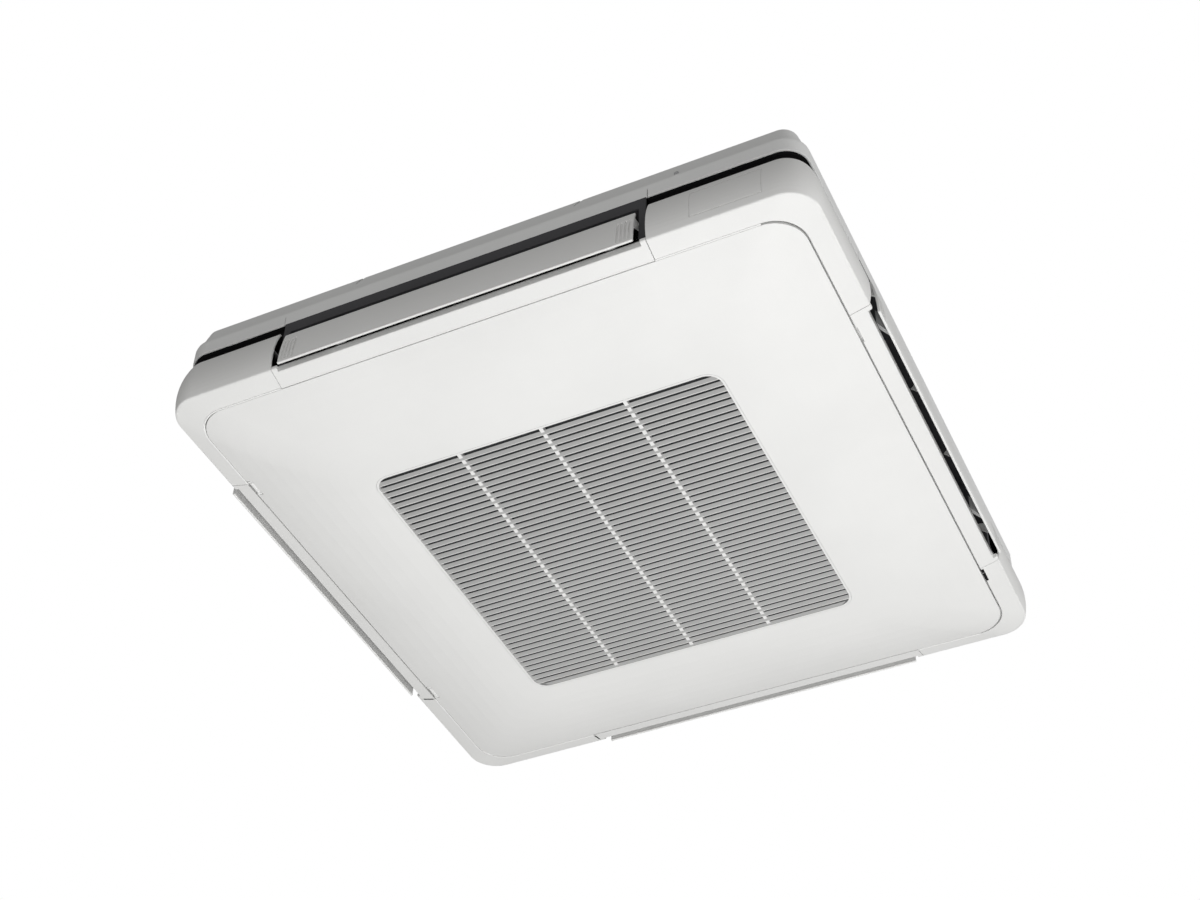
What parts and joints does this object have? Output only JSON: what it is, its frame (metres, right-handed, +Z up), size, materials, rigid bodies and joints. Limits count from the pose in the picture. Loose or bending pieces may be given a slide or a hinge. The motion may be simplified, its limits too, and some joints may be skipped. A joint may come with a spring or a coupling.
{
  "type": "ceiling suspended air conditioner",
  "caption": "Square ceiling-hung air conditioner with a domed intake grille panel, a swinging air flap on each side, rounded corner covers and hanger slots under the top plate.",
  "frame": {"origin": "centre of the four hanger slots, on the hanger plates' upper face", "axes": "+Z up towards the ceiling, +X to the side of the intake panel with the catches, -Y to the side nearest the viewer in the picture"},
  "size_m": [0.9666, 0.9666, 0.198],
  "materials": {
    "white_steel": "satin",
    "white_plastic": "satin",
    "liner_plastic": "matt",
    "recess_plastic": "matt",
    "dark_plastic": "matt",
    "grey_plastic": "matt",
    "bush_plastic": "satin",
    "wheel_plastic": "satin",
    "pan_foam": "matt",
    "foam": "matt",
    "filter_mesh": "matt",
    "board": "satin",
    "zinc_steel": "satin",
    "motor_metal": "satin",
    "fin_aluminium": "satin",
    "copper": "satin",
    "brass": "satin",
    "rubber": "matt"
  },
  "bodies": {
    "unit": {"casing_band": "white_steel", "top_plates": "white_steel", "service_plates": "white_steel", "top_insulation": "foam", "hanger_brackets": "zinc_steel", "corner_posts": "zinc_steel", "casing_screws": "zinc_steel", "motor_mount": "zinc_steel", "motor_grommets": "rubber", "fan_motor": "motor_metal", "bell_mouth": "wheel_plastic", "coil_fins": "fin_aluminium", "coil_end_plates": "zinc_steel", "coil_bends": "copper", "gas_header": "copper", "refrigerant_pipes": "copper", "pipe_unions": "brass", "expansion_valve": "brass", "distributor": "copper", "drain_pan": "pan_foam", "drain_pump": "dark_plastic", "drain_hose": "grey_plastic", "drain_socket": "grey_plastic", "cable_grommet": "rubber", "control_box": "zinc_steel", "control_box_lid": "zinc_steel", "circuit_board": "board", "terminal_block": "dark_plastic", "liner_near": "liner_plastic", "liner_right": "liner_plastic", "liner_far": "liner_plastic", "liner_left": "liner_plastic", "lip_near": "white_plastic", "lip_right": "white_plastic", "lip_far": "white_plastic", "lip_left": "white_plastic", "flap_bushes": "bush_plastic", "swing_motors": "motor_metal", "recess_channels": "recess_plastic", "panel_frame": "white_plastic", "cover_near_left": "white_plastic", "cover_near_right": "white_plastic", "cover_far_right": "white_plastic", "cover_far_left": "white_plastic", "cover_screws": "zinc_steel", "panel_hinge_pins": "white_plastic"},
    "fan_rotor": {"fan_shaft": "zinc_steel", "fan_wheel": "wheel_plastic", "wheel_shroud": "wheel_plastic", "shaft_nut": "zinc_steel"},
    "near_flap": {"flap_near": "white_plastic"},
    "right_flap": {"flap_right": "white_plastic"},
    "far_flap": {"flap_far": "white_plastic"},
    "left_flap": {"flap_left": "white_plastic"},
    "intake_door": {"intake_panel": "white_plastic", "intake_grille": "white_plastic", "filter_frame": "dark_plastic", "filter_mesh": "filter_mesh"},
    "far_catch": {"catch_far": "grey_plastic"},
    "near_catch": {"catch_near": "grey_plastic"}
  },
  "joints": [
    {"name": "fan_spin", "type": "hinge", "parent": "unit", "child": "fan_rotor", "pos_m": [0, 0, 0], "axis": [0, 0, 1], "continuous": true},
    {"name": "near_flap_swing", "type": "hinge", "parent": "unit", "child": "near_flap", "pos_m": [0, -0.458, -0.076], "axis": [-1, 0, 0], "range_deg": [0, 62]},
    {"name": "right_flap_swing", "type": "hinge", "parent": "unit", "child": "right_flap", "pos_m": [0.458, 0, -0.076], "axis": [0, -1, 0], "range_deg": [0, 62]},
    {"name": "far_flap_swing", "type": "hinge", "parent": "unit", "child": "far_flap", "pos_m": [0, 0.458, -0.076], "axis": [1, 0, 0], "range_deg": [0, 62]},
    {"name": "left_flap_swing", "type": "hinge", "parent": "unit", "child": "left_flap", "pos_m": [-0.458, 0, -0.076], "axis": [0, 1, 0], "range_deg": [0, 62]},
    {"name": "intake_door_swing", "type": "hinge", "parent": "unit", "child": "intake_door", "pos_m": [-0.439, 0, -0.138], "axis": [0, 1, 0], "range_deg": [0, 85]},
    {"name": "far_catch_slide", "type": "slide", "parent": "intake_door", "child": "far_catch", "axis": [1, 0, 0], "range_m": [0, 0.006]},
    {"name": "near_catch_slide", "type": "slide", "parent": "intake_door", "child": "near_catch", "axis": [1, 0, 0], "range_m": [0, 0.006]}
  ]
}
